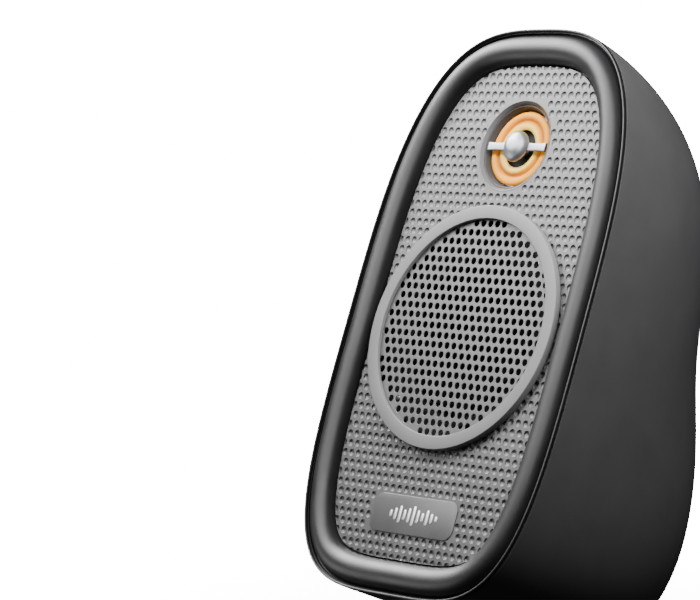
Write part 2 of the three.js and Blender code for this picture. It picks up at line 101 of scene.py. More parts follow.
# Materials
class Nodes:
    """A material's node tree, with short calls for the nodes that these finishes use."""

    def __init__(self, name):
        self.material = bpy.data.materials.new(name)
        self.material.use_nodes = True
        self.tree = self.material.node_tree
        self.shader = self.tree.nodes["Principled BSDF"]
        self.place = self.node("ShaderNodeTexCoord").outputs["Object"]

    def node(self, kind, **settings):
        made = self.tree.nodes.new(kind)
        for key, value in settings.items():
            setattr(made, key, value)
        return made

    def link(self, start, end):
        self.tree.links.new(start, end)

    def noise(self, size_mm, detail=3.0, stretch=(1, 1, 1)):
        scaled = self.node("ShaderNodeMapping")
        scaled.inputs["Scale"].default_value = stretch
        self.link(self.place, scaled.inputs["Vector"])
        made = self.node("ShaderNodeTexNoise")
        made.inputs["Scale"].default_value = 1000 / size_mm
        made.inputs["Detail"].default_value = detail
        self.link(scaled.outputs["Vector"], made.inputs["Vector"])
        return made.outputs["Fac"]

    def ramp(self, value, stops):
        made = self.node("ShaderNodeValToRGB")
        elements = made.color_ramp.elements
        while len(elements) < len(stops):
            elements.new(0.5)
        for element, (at, colour) in zip(elements, stops):
            element.position = at
            element.color = (*colour, 1)
        self.link(value, made.inputs["Fac"])
        return made.outputs["Color"]

    def spread(self, value, low, high, from_low=0.3, from_high=0.7):
        made = self.node("ShaderNodeMapRange")
        made.inputs["From Min"].default_value = from_low
        made.inputs["From Max"].default_value = from_high
        made.inputs["To Min"].default_value = low
        made.inputs["To Max"].default_value = high
        self.link(value, made.inputs["Value"])
        return made.outputs["Result"]

    def bump(self, value, depth_mm, strength=0.5, under=None):
        made = self.node("ShaderNodeBump")
        made.inputs["Strength"].default_value = strength
        made.inputs["Distance"].default_value = depth_mm / 1000
        self.link(value, made.inputs["Height"])
        if under is not None:
            self.link(under, made.inputs["Normal"])
        return made.outputs["Normal"]


def shade(colour, factor):
    return tuple(channel * factor for channel in colour)


def finish_material(
    name, colour, rough, grain_mm, depth_mm,
    metal=0.0, vary=0.12, coat=0.0, stretch=(1, 1, 1), shine=0.5,
):
    """A moulded, painted or rolled surface: cloudy colour, uneven gloss and a fine grain."""
    made = Nodes(name)
    cloud = made.noise(14, 4)
    grain = made.noise(grain_mm, 2, stretch)
    colours = made.ramp(cloud, [(0.3, shade(colour, 1 - vary)), (0.7, shade(colour, 1 + vary))])
    made.link(colours, made.shader.inputs["Base Color"])
    made.link(made.spread(cloud, rough * 0.92, rough * 1.1), made.shader.inputs["Roughness"])
    made.link(made.bump(grain, depth_mm), made.shader.inputs["Normal"])
    made.shader.inputs["Metallic"].default_value = metal
    made.shader.inputs["Specular IOR Level"].default_value = shine
    made.shader.inputs["Coat Weight"].default_value = coat
    made.shader.inputs["Coat Roughness"].default_value = 0.12
    return made.material


def amber_material():
    """The ring diaphragm: pale at its inner band, brown in its groove, with painted shade at its outer
    edge and a weak painted glow.
    """
    made = Nodes("amber_film")
    away = made.node("ShaderNodeVectorMath", operation="DISTANCE")
    away.inputs[1].default_value = TWEETER @ Vector((0, 0, -3.5))
    made.link(made.place, away.inputs[0])
    radius = made.spread(away.outputs["Value"], 0, 1, 0.006, 0.0128)
    # The last stop darkens the film's outer edge as painted shade, next to the housing wall that shades
    # it.
    colours = made.ramp(radius, [
        (0.0, (1.0, 0.62, 0.1)), (0.26, (1.0, 0.66, 0.12)), (0.42, (0.75, 0.3, 0.015)),
        (0.54, (0.5, 0.14, 0.005)), (0.66, (0.85, 0.3, 0.012)), (0.88, (1.0, 0.42, 0.02)),
        (1.0, (0.5, 0.14, 0.005)),
    ])
    made.link(colours, made.shader.inputs["Base Color"])
    made.link(made.spread(made.noise(3, 3), 0.38, 0.5), made.shader.inputs["Roughness"])
    made.link(made.bump(made.noise(0.5, 2), 0.01), made.shader.inputs["Normal"])
    # Painted glow: the film's colours are also emitted, standing in for light coming through the
    # translucent film.
    made.link(colours, made.shader.inputs["Emission Color"])
    made.shader.inputs["Emission Strength"].default_value = 0.35
    made.shader.inputs["Specular IOR Level"].default_value = 0.1
    return made.material


def woven_material(name, colour, thread_mm):
    """A resin-dipped or felted cloth."""
    made = Nodes(name)
    weave = made.node("ShaderNodeTexWave", wave_type="BANDS", bands_direction="X")
    weave.inputs["Scale"].default_value = 1000 / thread_mm / 6
    weave.inputs["Distortion"].default_value = 2.5
    made.link(made.place, weave.inputs["Vector"])
    fibres = made.noise(thread_mm, 5)
    colours = made.ramp(fibres, [(0.3, shade(colour, 0.7)), (0.7, colour)])
    made.link(colours, made.shader.inputs["Base Color"])
    rough = made.bump(weave.outputs["Fac"], 0.08)
    made.link(made.bump(fibres, 0.1, 0.6, rough), made.shader.inputs["Normal"])
    made.shader.inputs["Roughness"].default_value = 0.95
    return made.material


case = finish_material("case_plastic", (0.045, 0.045, 0.046), 0.5, 0.35, 0.02, vary=0.06)
gloss = finish_material("bezel_gloss", (0.006, 0.006, 0.0065), 0.42, 0.6, 0.004)
paint = finish_material("front_paint", (0.12, 0.12, 0.122), 0.33, 0.22, 0.012, metal=0.1, vary=0.05)
trim_paint = finish_material("trim_paint", (0.16, 0.16, 0.162), 0.45, 0.22, 0.008, vary=0.03)
mark_paint = finish_material("mark_silver", (0.86, 0.87, 0.88), 0.3, 0.3, 0.005, metal=0.3, vary=0.03)
basket_paint = finish_material("basket_paint", (0.012, 0.012, 0.013), 0.6, 0.3, 0.02, shine=0.2)
zinc = finish_material("zinc_plate", (0.55, 0.56, 0.57), 0.3, 0.4, 0.01, metal=1.0, stretch=(1, 1, 6))
ferrite = finish_material("ferrite", (0.035, 0.035, 0.038), 0.75, 0.25, 0.06)
rubber = finish_material("rubber_black", (0.005, 0.005, 0.005), 0.7, 0.3, 0.03, shine=0.15)
cone_paper = finish_material(
    "cone_paper", (0.0025, 0.0025, 0.0026), 0.9, 0.6, 0.08, vary=0.25, shine=0.05,
)
copper = finish_material(
    "copper_wire", (0.62, 0.26, 0.1), 0.3, 0.2, 0.03, metal=1.0, stretch=(1, 1, 12),
)
brass = finish_material("brass_strip", (0.7, 0.48, 0.17), 0.28, 0.4, 0.01, metal=1.0)
silver = finish_material("satin_silver", (0.34, 0.35, 0.37), 0.4, 0.5, 0.004, metal=0.85, vary=0.04)
red_plastic = finish_material("lever_red", (0.5, 0.02, 0.015), 0.3, 0.4, 0.01, coat=0.2)
black_plastic = finish_material("lever_black", (0.02, 0.02, 0.021), 0.3, 0.4, 0.01, coat=0.2)
laminate = finish_material("board_green", (0.03, 0.13, 0.05), 0.38, 0.5, 0.02, vary=0.2)
satin_tin = finish_material(
    "plate_tin", (0.5, 0.51, 0.52), 0.38, 0.3, 0.01, metal=0.9, stretch=(8, 1, 1),
)
amber = amber_material()
felt = woven_material("damping_felt", (0.62, 0.6, 0.54), 0.5)
spider_cloth = woven_material("spider_cloth", (0.55, 0.4, 0.18), 0.4)


# Mesh helpers
def smoothed(mesh, crease=CREASE):
    mesh.shade_smooth()
    mesh.set_sharp_from_angle(angle=math.radians(crease))


def add_piece(
    name, vertices, faces, place, material, body="cabinet", node=None, crease=CREASE,
):
    """Makes a mesh from points in a drawing frame and lets it ride on a body."""
    mesh = bpy.data.meshes.new(name)
    points = [tuple(map(float, v)) for v in vertices]
    mesh.from_pydata(points, [], [tuple(map(int, f)) for f in faces])
    mesh.transform(place)
    form = bmesh.new()
    form.from_mesh(mesh)
    bmesh.ops.remove_doubles(form, verts=form.verts, dist=2e-7)
    bmesh.ops.recalc_face_normals(form, faces=form.faces)
    form.to_mesh(mesh)
    form.free()
    smoothed(mesh, crease)
    piece = bpy.data.objects.new(name, mesh)
    bpy.context.collection.objects.link(piece)
    mesh.materials.append(material)
    if body is not None:
        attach(piece, body)
    if node is not None:
        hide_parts(node)
    return piece


def rounded(points, steps=4, closed=True):
    """Rounds a profile's corners; a point is (a, b) or (a, b, radius)."""
    made = []
    count = len(points)
    for i, point in enumerate(points):
        here = np.array(point[:2], float)
        inner = closed or 0 < i < count - 1
        if len(point) < 3 or not inner:
            made.append(tuple(here))
            continue
        before = np.array(points[i - 1][:2], float) - here
        after = np.array(points[(i + 1) % count][:2], float) - here
        long_before, long_after = np.linalg.norm(before), np.linalg.norm(after)
        before, after = before / long_before, after / long_after
        half = math.acos(max(-1, min(1, float(before @ after)))) / 2
        back = min(point[2] / math.tan(half), long_before * 0.49, long_after * 0.49)
        radius = back * math.tan(half)
        middle = (before + after) / np.linalg.norm(before + after)
        centre = here + middle * radius / math.sin(half)
        start, end = here + before * back - centre, here + after * back - centre
        for k in range(steps + 1):
            mix = start * (1 - k / steps) + end * (k / steps)
            made.append(tuple(centre + mix / np.linalg.norm(mix) * radius))
    return made


def arc(centre, radius, start, end, steps):
    angles = np.radians(np.linspace(start, end, steps + 1))
    return [(centre[0] + radius * math.cos(a), centre[1] + radius * math.sin(a)) for a in angles]


def turned(profile, segments=128, span=(0, 2 * math.pi), closed=True):
    """Turns a profile of (radius, height) about z; an open one starts and ends on the axis."""
    whole = abs(span[1] - span[0] - 2 * math.pi) < 1e-9
    steps = segments if whole else segments + 1
    angles = np.linspace(span[0], span[1], segments + 1)[:steps]
    vertices = [(r * math.cos(a), r * math.sin(a), z) for a in angles for r, z in profile]
    count = len(profile)
    faces = []
    for i in range(segments):
        k = (i + 1) % steps
        for j in range(count if closed else count - 1):
            m = (j + 1) % count
            faces.append((i * count + j, k * count + j, k * count + m, i * count + m))
    return vertices, faces


def add_turned(name, profile, place, material, segments=128, closed=True, **options):
    vertices, faces = turned(profile, segments, closed=closed)
    return add_piece(name, vertices, clean(vertices, faces), place, material, **options)


def clean(vertices, faces):
    """Drops the corners that meet on the axis, so that no face has a repeated point."""
    made = []
    for face in faces:
        kept = []
        for index in face:
            spot = tuple(np.round(vertices[index], 6))
            if spot not in [tuple(np.round(vertices[k], 6)) for k in kept]:
                kept.append(index)
        if len(kept) >= 3:
            made.append(tuple(kept))
    return made


def prism(outline, low, high, rim=0.3, steps=3):
    """A flat plate of an outline, with both rims rounded."""
    ring = np.array(outline, float)
    ahead, behind = np.roll(ring, -1, 0), np.roll(ring, 1, 0)
    along = ahead - behind
    along /= np.linalg.norm(along, axis=1)[:, None]
    inward = np.stack([-along[:, 1], along[:, 0]], 1)
    layers = []
    for end, sign in ((low, 1), (high, -1)):
        turns = np.linspace(0, math.pi / 2, steps + 1)
        if sign < 0:
            turns = turns[::-1]
        for t in turns:
            layers.append((rim * (1 - math.sin(t)), end + sign * rim * (1 - math.cos(t))))
    vertices = [(*(p + n * inset), z) for inset, z in layers for p, n in zip(ring, inward)]
    count = len(ring)
    faces = [tuple(range(count)), tuple(range(len(vertices) - count, len(vertices)))]
    for k in range(len(layers) - 1):
        for i in range(count):
            j = (i + 1) % count
            faces.append((k * count + i, k * count + j, (k + 1) * count + j, (k + 1) * count + i))
    return vertices, faces


def rounded_rectangle(half_w, half_h, corner, steps=8):
    made = []
    for x, y, start in ((1, 1, 0), (-1, 1, 90), (-1, -1, 180), (1, -1, 270)):
        made += arc((x * (half_w - corner), y * (half_h - corner)), corner, start, start + 90, steps)
    return made


def box(x0, x1, y0, y1, z0, z1):
    corners = [(x, y, z) for x in (x0, x1) for y in (y0, y1) for z in (z0, z1)]
    return corners, [(0, 1, 3, 2), (4, 6, 7, 5), (0, 4, 5, 1), (2, 3, 7, 6), (0, 2, 6, 4), (1, 5, 7, 3)]


def joined(*parts):
    vertices, faces = [], []
    for more_vertices, more_faces in parts:
        start = len(vertices)
        vertices += list(more_vertices)
        faces += [tuple(start + i for i in face) for face in more_faces]
    return vertices, faces


def moved(part, place):
    return [tuple(place @ Vector(v)) for v in part[0]], part[1]


def bake(piece):
    """Turns a piece's modifiers into its mesh."""
    shape = piece.evaluated_get(bpy.context.evaluated_depsgraph_get())
    made = bpy.data.meshes.new_from_object(shape)
    piece.modifiers.clear()
    piece.data = made
    smoothed(made)


def cut(piece, tool_parts, place, operation="DIFFERENCE"):
    """Cuts a closed form out of a piece or joins it on, and leaves no modifier behind."""
    tool = add_piece("cutting_tool", *tool_parts, place, case, body=None)
    boolean = piece.modifiers.new("cut", "BOOLEAN")
    boolean.operation = operation
    boolean.solver = "EXACT"
    boolean.object = tool
    bake(piece)
    bpy.data.objects.remove(tool)


def soften(piece, width_mm, segments=3):
    """Rounds a piece's hard edges, and leaves no modifier behind."""
    bevel = piece.modifiers.new("soften", "BEVEL")
    bevel.width = width_mm / 1000
    bevel.segments = segments
    bevel.limit_method = "ANGLE"
    bevel.angle_limit = math.radians(40)
    bake(piece)


# The oval outline
def outline_points(inset, angles):
    """The rim's outline, moved inwards along its own normal."""

    def rim(a):
        c, s = np.cos(a), np.sin(a)
        power = np.where(s > 0, RIM["top_power"], RIM["bottom_power"])
        reach = (np.abs(c) ** power + np.abs(s) ** power) ** (-1 / power)
        tall = np.where(s > 0, RIM["top"] - RIM["waist"], RIM["waist"] - RIM["bottom"])
        return np.stack([RIM["half"] * reach * c, RIM["waist"] + tall * reach * s], -1)

    step = 1e-3
    along = rim(angles + step) - rim(angles - step)
    along /= np.linalg.norm(along, axis=-1)[..., None]
    return rim(angles) + np.stack([-along[..., 1], along[..., 0]], -1) * inset


def full_turn(segments):
    return np.arange(segments) * 2 * math.pi / segments


def ring_faces(rows, segments, closed):
    faces = []
    for j in range(rows if closed else rows - 1):
        m = (j + 1) % rows
        for i in range(segments):
            k = (i + 1) % segments
            faces.append((j * segments + i, j * segments + k, m * segments + k, m * segments + i))
    return faces


def rim_sweep(profile, segments=288, closed=True):
    angles = full_turn(segments)
    vertices = []
    for inset, height in profile:
        vertices += [(x, y, height) for x, y in outline_points(inset, angles)]
    return vertices, ring_faces(len(profile), segments, closed)


# Case
def pod_point(angles, t, inset=0.0):
    """The pod's skin: each meridian is a cubic from the rim to the rear pole."""
    lean_sin, lean_cos = OUT.z, -OUT.y
    flat = outline_points(inset, angles)
    start = np.stack([flat[:, 0], flat[:, 1] * lean_sin, flat[:, 1] * lean_cos], 1)
    s = np.sin(angles)

    def by_height(top, side, bottom):
        end = np.where(s > 0, top, bottom)
        return (side + (end - side) * np.abs(s) ** POD["mix_power"])[:, None]

    pole = np.array([0, POD["rear_y"] - inset, POD["rear_z"]])
    leave = start + np.array([0, lean_cos, -lean_sin]) * by_height(*POD["start"])
    spread = np.stack([start[:, 0], np.zeros(len(s)), start[:, 2] - pole[2]], 1)
    arrive = pole + spread * by_height(*POD["finish"])
    pull = by_height(*POD["pull"])
    weights = [(1 - t) ** 3, 3 * pull * (1 - t) ** 2 * t, 3 * pull * (1 - t) * t**2, t**3]
    total = sum(weights)
    return sum(w * p for w, p in zip(weights, (start, leave, arrive, pole))) / total


def soft_floor(value, floor, width):
    """Keeps a value above a floor, with a rounded change from one to the other."""
    return floor + width * np.logaddexp(0, (value - floor) / width)


def body_shell():
    """One skin from the inner pole out to the rim, over its lip and back to the outer pole."""
    segments, rows = 256, 96
    angles = full_turn(segments)
    lip = rounded([(0.9, -5.9), (0.9, 0, 0.25), (0, 0, 0.35), (0, -1)], 4, closed=False)[:-1]
    lean = Matrix.Rotation(math.pi / 2 - math.asin(OUT.z), 4, "X")
    steps = (np.arange(1, rows) / rows) ** 1.15
    vertices = [(0, POD["land_y"] - POD["wall"], POD["rear_z"])] * segments
    for t in reversed(steps[2::3]):
        vertices += pod_ring(angles, t, POD["wall"])
    for inset, height in lip:
        vertices += [tuple(lean @ Vector((x, y, height))) for x, y in outline_points(inset, angles)]
    for t in steps:
        vertices += pod_ring(angles, t, 0)
    vertices += [(0, POD["land_y"], POD["rear_z"])] * segments
    faces = ring_faces(len(vertices) // segments, segments, False)
    skin = add_piece("case_skin", vertices, faces, UPRIGHT, case, node="body_shell")
    mouth = prism(rounded_rectangle(CUP["half_w"] + 0.3, CUP["half_h"] + 0.3, 1.5, 4), 60, 95, 0)
    cut(skin, mouth, REARWARD)


def pod_ring(angles, t, inset):
    """One ring of the skin, with the flat base and the flat rear land rounded into it."""
    points = pod_point(angles, t, inset)
    width = POD["round_over"] * min(1, t * 8)
    points[:, 2] = soft_floor(points[:, 2], POD["base_z"] + inset, width)
    points[:, 1] = -soft_floor(-points[:, 1], inset - POD["land_y"], width)
    return list(map(tuple, points))


def front_bezel():
    centre = (TUBE["inset"], TUBE["depth"])
    meet = math.degrees(math.asin((-1 - TUBE["depth"]) / TUBE["radius"]))
    tube = arc(centre, TUBE["radius"], 180 - meet, TUBE["end"], 40)
    profile = rounded([
        (0, 0.3, 0.12), (0, 1.44, 0.4), (0.85, 1.44, 0.35), (0.85, -1.0, 0.25), (1.5, -1.0, 0.1),
    ], 4)[:-1]
    profile += tube
    profile += [(16, -3.6), (16, -5.6), (1.2, -5.6), (1.2, 0.3)]
    vertices, faces = rim_sweep(profile)
    piece = add_piece("rim_tube", vertices, faces, FACE, gloss, node="front_bezel", crease=50)


# Perforated sheets
def lattice(cells, rings, sides=16):
    """One square patch of sheet for each cell; a cell is (x, y, has_hole)."""
    half = PITCH / 2
    walk = np.linspace(-half, half, sides // 4 + 1)[:-1]
    border = [(half, w) for w in walk] + [(-w, half) for w in walk]
    border += [(-half, -w) for w in walk] + [(w, -half) for w in walk]
    turn = -math.pi / 4 + np.arange(sides) * 2 * math.pi / sides
    circle = np.stack([np.cos(turn), np.sin(turn)], 1)
    layers = [(np.array(border) if size is None else circle * size, height) for size, height in rings]
    through = rings[-1][0] is None
    vertices, faces = [], []
    for x, y, has_hole in cells:
        start = len(vertices)
        used = layers if has_hole else layers[:1]
        for ring, height in used:
            vertices += [(x + a, y + b, height) for a, b in ring]
        for k in range(len(used) - 1):
            for i in range(sides):
                j = (i + 1) % sides
                low, high = start + k * sides, start + (k + 1) * sides
                faces.append((low + i, low + j, high + j, high + i))
        if not (has_hole and through):
            vertices.append((x, y, used[-1][1]))
            middle, low = len(vertices) - 1, start + (len(used) - 1) * sides
            faces += [(low + i, low + (i + 1) % sides, middle) for i in range(sides)]
    return np.array(vertices), faces


def lattice_centres(reach_x, low_y, high_y):
    for row in range(math.floor(low_y / PITCH), math.ceil(high_y / PITCH) + 1):
        shift = 0.5 if row % 2 == 0 else 0.0
        count = math.ceil(reach_x / PITCH) + 1
        for column in range(-count, count + 1):
            yield (column + shift) * PITCH, row * PITCH


def flat_mesh(name, vertices, faces, material, node, slot):
    """A perforated sheet: flat lands with smooth walls."""
    piece = add_piece(name, vertices, faces, FACE, material, node=node, crease=28)
    return piece


def face_panel():
    angles = np.linspace(-math.pi, math.pi, 1441)
    edge = outline_points(PANEL["inset"], angles) - np.array([0, RIM["waist"]])
    bearing, reach = np.arctan2(edge[:, 1], edge[:, 0]), np.hypot(edge[:, 0], edge[:, 1])
    order = np.argsort(bearing)

    def limit(points):
        offset = points - np.array([0, RIM["waist"]])
        towards = np.arctan2(offset[:, 1], offset[:, 0])
        most = np.interp(towards, bearing[order], reach[order], period=2 * math.pi)
        return offset, np.hypot(offset[:, 0], offset[:, 1]), most

    cells = []
    for x, y in lattice_centres(48, -85, 102):
        corners = np.array([(x + a, y + b) for a in (-1.6, 0, 1.6) for b in (-1.6, 0, 1.6)])
        _, far, most = limit(corners)
        if (far > most).all() or math.hypot(x, y) < PANEL["ring_hole"]:
            continue
        from_tweeter = math.hypot(x, y - TWEETER_Y)
        if from_tweeter < PANEL["tweeter_hole"] - 2.4:
            continue
        off_x, off_y = abs(x - BADGE["x"]), abs(y - BADGE["y"])
        by_badge = off_x < BADGE["width"] / 2 + 1 and off_y < BADGE["height"] / 2 + 1
        cells.append((x, y, from_tweeter > PANEL["plain"] and not by_badge))
    top = PANEL["front"]
    bowl = [(HOLE + 0.08, top), (HOLE, top - 0.05), (HOLE * 0.98, top - 0.4)]
    bowl += [(HOLE * r, top - PANEL["bowl"] * d) for r, d in ((0.85, 0.72), (0.55, 0.92), (0.25, 0.99))]
    vertices, faces = lattice(cells, [(None, top), *bowl])
    flat = vertices[:, :2]
    offset, far, most = limit(flat)
    outside = far > most
    flat[outside] = (offset * (most / far)[:, None] + np.array([0, RIM["waist"]]))[outside]
    from_tweeter = flat - np.array([0, TWEETER_Y])
    distance = np.maximum(np.hypot(from_tweeter[:, 0], from_tweeter[:, 1]), 1e-6)
    mouth = PANEL["tweeter_hole"]
    inside = distance < mouth
    pushed = from_tweeter * (mouth / distance)[:, None] + np.array([0, TWEETER_Y])
    flat[inside] = pushed[inside]
    vertices[:, :2] = flat
    wall = rim_sweep([(PANEL["inset"], top), (PANEL["inset"], PANEL["back"])], 288, False)
    bore = turned([(mouth, top), (mouth, PANEL["back"])], 128, closed=False)
    bore = moved(bore, Matrix.Translation((0, TWEETER_Y, 0)))
    whole = joined((vertices, faces), wall, bore)
    flat_mesh("dimpled_panel", *whole, paint, "face_panel", "front_paint")


def woofer_grille():
    cells = []
    for x, y in lattice_centres(40, -40, 40):
        if math.hypot(x, y) < 36.0:
            cells.append((x, y, True))
        elif math.hypot(x, y) < 38.6:
            cells.append((x, y, False))
    rings = [(None, 0), (HOLE + 0.1, 0), (HOLE + 0.02, -0.06), (HOLE, -0.14)]
    rings += [(HOLE, -0.34), (HOLE + 0.06, -0.4), (None, -0.4)]
    vertices, faces = lattice(cells, rings)
    far = np.hypot(vertices[:, 0], vertices[:, 1])
    reach = 38.4
    scale = np.where(far > reach, reach / np.maximum(far, 1e-6), 1)
    vertices[:, 0] *= scale
    vertices[:, 1] *= scale
    flat_mesh("woofer_mesh", vertices, faces, paint, "woofer_grille", "grille_steel")


def trim_ring():
    profile = rounded([
        (TRIM["inner"], 0.1, 0.1), (TRIM["inner"], TRIM["top"], 0.2),
        (TRIM["outer"], TRIM["top"], 0.28), (TRIM["outer"], TRIM["back"]),
        (TRIM["rebate"], TRIM["back"]), (TRIM["rebate"], 0.1),
    ], 5)
    piece = add_turned("trim_ring", profile, FACE, trim_paint, 192, node="woofer_trim_ring")


def badge():
    outline = rounded_rectangle(BADGE["width"] / 2, BADGE["height"] / 2, BADGE["corner"])
    place = FACE @ Matrix.Translation((BADGE["x"], BADGE["y"], 0))
    plate = prism(outline, BADGE["back"], BADGE["front"], 0.12, 4)
    piece = add_piece("badge_plate", *plate, place, paint, node="name_badge")
    heights = (2.2, 3.8, 5.6, 3.4, 4.6, 6.4, 4.2, 2.8, 5.0, 3.2, 1.8)
    bars = []
    for i, height in enumerate(heights):
        bar = prism(rounded_rectangle(0.55, height / 2, 0.54, 5), 0, 0.14, 0.06, 2)
        spot = Matrix.Translation(((i - (len(heights) - 1) / 2) * 2.1, 0, BADGE["front"] - 0.04))
        bars.append(moved(bar, spot))
    mark = add_piece("badge_bars", *joined(*bars), place, mark_paint)


# Woofer
def sectors(name, profile, node, material, count=24):
    """A flexing ring in sectors, each baked in place on its own and held by no body."""
    for i in range(count):
        span = (2 * math.pi * i / count, 2 * math.pi * (i + 1) / count)
        vertices, faces = turned(profile, 6, span)
        piece = add_piece(f"{name}_{i + 1:02d}", vertices, faces, FACE, material, body=None, node=node)
        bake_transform(piece)


def woofer():
    roll = arc((28.5, -4), 2.5, 180, 360, 14) + [(32.4, -4), (32.4, -3.6)]
    roll += arc((28.5, -3.6), 2.1, 360, 180, 14) + [(26, -3.6)]
    moving = "woofer_diaphragm"
    sectors("woofer_roll", roll, "woofer_surround", rubber)
    cone = rounded([
        (25.7, -4, 0.2), (25.7, -4.7), (18, -10.9, 20), (10.7, -15.8), (10.7, -15.1), (18, -10.2, 20),
    ], 6)
    piece = add_turned("cone", cone, FACE, cone_paper, body=moving, node="woofer_cone")
    cap = arc((0, -23.6), 15.6, 40, 90, 16) + arc((0, -23.6), 15.1, 90, 40, 16)
    piece = add_turned("dust_cap", cap, FACE, cone_paper, 96, body=moving, node="woofer_dust_cap")
    steps = np.linspace(0, 1, 41)
    wave = [(11.4 + 10.6 * s, -25 + 0.55 * math.sin(8 * math.pi * s)) for s in steps]
    spider = [(r, z - 0.2) for r, z in wave] + [(r, z + 0.2) for r, z in reversed(wave)]
    sectors("spider", spider, "woofer_spider", spider_cloth, 12)


# Tweeter
def tweeter():
    lip = PANEL["tweeter_hole"] - 0.05
    bezel = rounded([
        (lip, -1.0, 0.1), (lip - 0.25, -1.0, 0.4), (14.4, -2.0, 0.6), (14.4, -3.2, 0.1),
        (lip, -3.2, 0.1),
    ], 6)
    piece = add_turned("tweeter_bevel", bezel, TWEETER, paint, 160, node="tweeter_housing")
    housing = rounded([
        (14.3, -2.2, 0.2), (14.0, -2.2, 0.2), (13.1, -4.2, 0.3), (13.1, -7.9), (15.4, -7.9),
        (15.4, -5.6), (20, -5.6, 0.3), (20, -3.65, 0.3), (14.3, -3.65),
    ], 4)
    piece = add_turned("tweeter_wall", housing, TWEETER, case, node="tweeter_housing")
    crown = [(6.5, -3.9), (7.0, -3.6), (7.8, -3.42), (8.6, -3.55), (9.2, -4.0), (9.6, -4.2)]
    crown += [(10.0, -4.0), (10.5, -3.6), (11.3, -3.42), (12.1, -3.55), (12.7, -3.9)]
    ring = smooth_line(crown) + [(r, z - 0.3) for r, z in reversed(smooth_line(crown))]
    piece = add_turned(
        "amber_ring", ring, TWEETER, amber, body="tweeter_dome_ring", node="tweeter_diaphragm",
    )
    plug = rounded([
        (0, 0.75), (2.4, 0.55, 5), (4.4, -0.45, 3.0), (5.4, -1.6, 1.2), (5.1, -2.6, 0.4),
        (1.8, -2.75), (1.8, -9), (0, -9),
    ], 12, closed=False)
    piece = add_turned("plug_dome", plug, TWEETER, silver, 96, closed=False, node="tweeter_bridge")
    for side, name in ((-1, "left"), (1, "right")):
        plug_arm(f"plug_arm_{name}", side)


def plug_arm(name, side):
    """One flat arm of the bar that holds the plug; it flares a little towards both ends."""
    stations = np.linspace(4.6, 13.05, 13)
    vertices = []
    for x in stations:
        flare = 1.28 + 0.2 * ((x - 8.8) / 4.2) ** 2
        profile = rounded([
            (-flare, -2.8, 0.1), (flare, -2.8, 0.1), (flare, -1.85, 0.35), (-flare, -1.85, 0.35),
        ], 4)
        vertices += [(side * x, a, b) for a, b in profile]
    count = len(profile)
    last = len(vertices) - count
    faces = [tuple(range(count)), tuple(range(last, last + count))]
    for k in range(len(stations) - 1):
        for i in range(count):
            j = (i + 1) % count
            faces.append((k * count + i, k * count + j, (k + 1) * count + j, (k + 1) * count + i))
    arm = add_piece(name, vertices, faces, TWEETER, silver)
    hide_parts("tweeter_bridge")


def smooth_line(points, steps=5):
    """A Catmull-Rom line through the points."""
    spots = [np.array(p, float) for p in [points[0], *points, points[-1]]]
    made = []
    for a, b, c, d in zip(spots, spots[1:], spots[2:], spots[3:]):
        for k in range(steps):
            t = k / steps
            made.append(tuple(0.5 * (2 * b + (c - a) * t + (2 * a - 5 * b + 4 * c - d) * t**2
                                     + (3 * b - a - 3 * c + d) * t**3)))
    return made + [tuple(spots[-1])]


# Rear and base
def terminal_cup():
    rear = POD["land_y"] + 0.3
    outline = rounded_rectangle(CUP["flange_w"], CUP["flange_h"], 4)
    flange = prism(outline, rear, rear + CUP["flange"], 0.6, 4)
    piece = add_piece("cup_tray", *flange, REARWARD, case, node="terminal_cup")
    outline = rounded_rectangle(CUP["half_w"], CUP["half_h"], 2.2)
    body = prism(outline, CUP["floor"] - CUP["wall"], rear + 0.5, 0.2, 1)
    cut(piece, body, REARWARD, "UNION")
    hollow = rounded_rectangle(CUP["half_w"] - CUP["wall"], CUP["half_h"] - CUP["wall"], 1.2)
    cut(piece, prism(hollow, CUP["floor"] + 0.1, 99, 0.0, 1), REARWARD)
    for side in (-1, 1):
        cut(piece, box(side * 5.6 - 2.4, side * 5.6 + 2.4, 60, 99, -12.8, -11.2), UPRIGHT)
    soften(piece, 0.25, 2)


def lever(side, name, node, body, material):
    pivot = (76, -7)
    outer = arc((0, 0), 2.6, 160, 370, 18) + [(3.4, 3.2), (4.6, 9), (5.2, 15.6)]
    outline = outer + [(4.9, 16.7), (4.1, 17), (2.2, 17), (0.4, 9)]
    turned_in = Matrix((
        (0, 0, 1, side * 5.6), (1, 0, 0, pivot[0]), (0, 1, 0, pivot[1]), (0, 0, 0, 1),
    ))
    arm = prism(outline, -4.25, 4.25, 0.35, 3)
    piece = add_piece(name, *arm, UPRIGHT @ turned_in, material, body=body, node=node)
    for k in range(4):
        height = 8.4 + k * 2.1
        groove = turned([(0, -9), (0.35, -9), (0.35, 9), (0, 9)], 12, closed=False)
        spot = turned_in @ Matrix.Translation((4.55 + (height - 9) * 0.09 + 0.12, height, 0))
        cut(piece, (groove[0], clean(*groove)), UPRIGHT @ spot)


def cross_screw(name, x, z, node):
    """A pan-head screw with a cross recess, facing the rear."""
    seat = POD["land_y"] + CUP["flange"] + 0.6
    head = rounded([
        (0, seat + 1.2), (1.35, seat + 1.2, 0.8), (2, seat + 0.4, 0.25), (2, seat, 0.1), (1.1, seat),
    ], 4, False)
    profile = head + [(1.1, seat - 7), (0, seat - 7.5)]
    place = REARWARD @ Matrix.Translation((x, z, 0))
    piece = add_turned(name, profile, place, zinc, 40, closed=False, node=node)
    for across, tall in ((0.95, 0.2), (0.2, 0.95)):
        cut(piece, box(-across, across, -tall, tall, seat + 0.55, seat + 3), place)


def rating_plate():
    rear = POD["land_y"] + 0.25
    place = REARWARD @ Matrix.Translation((0, 30.5, 0))
    plate = prism(rounded_rectangle(10, 4.5, 1), rear, rear + 0.5, 0.1, 2)
    piece = add_piece("rear_plate", *plate, place, satin_tin, node="rating_plate")


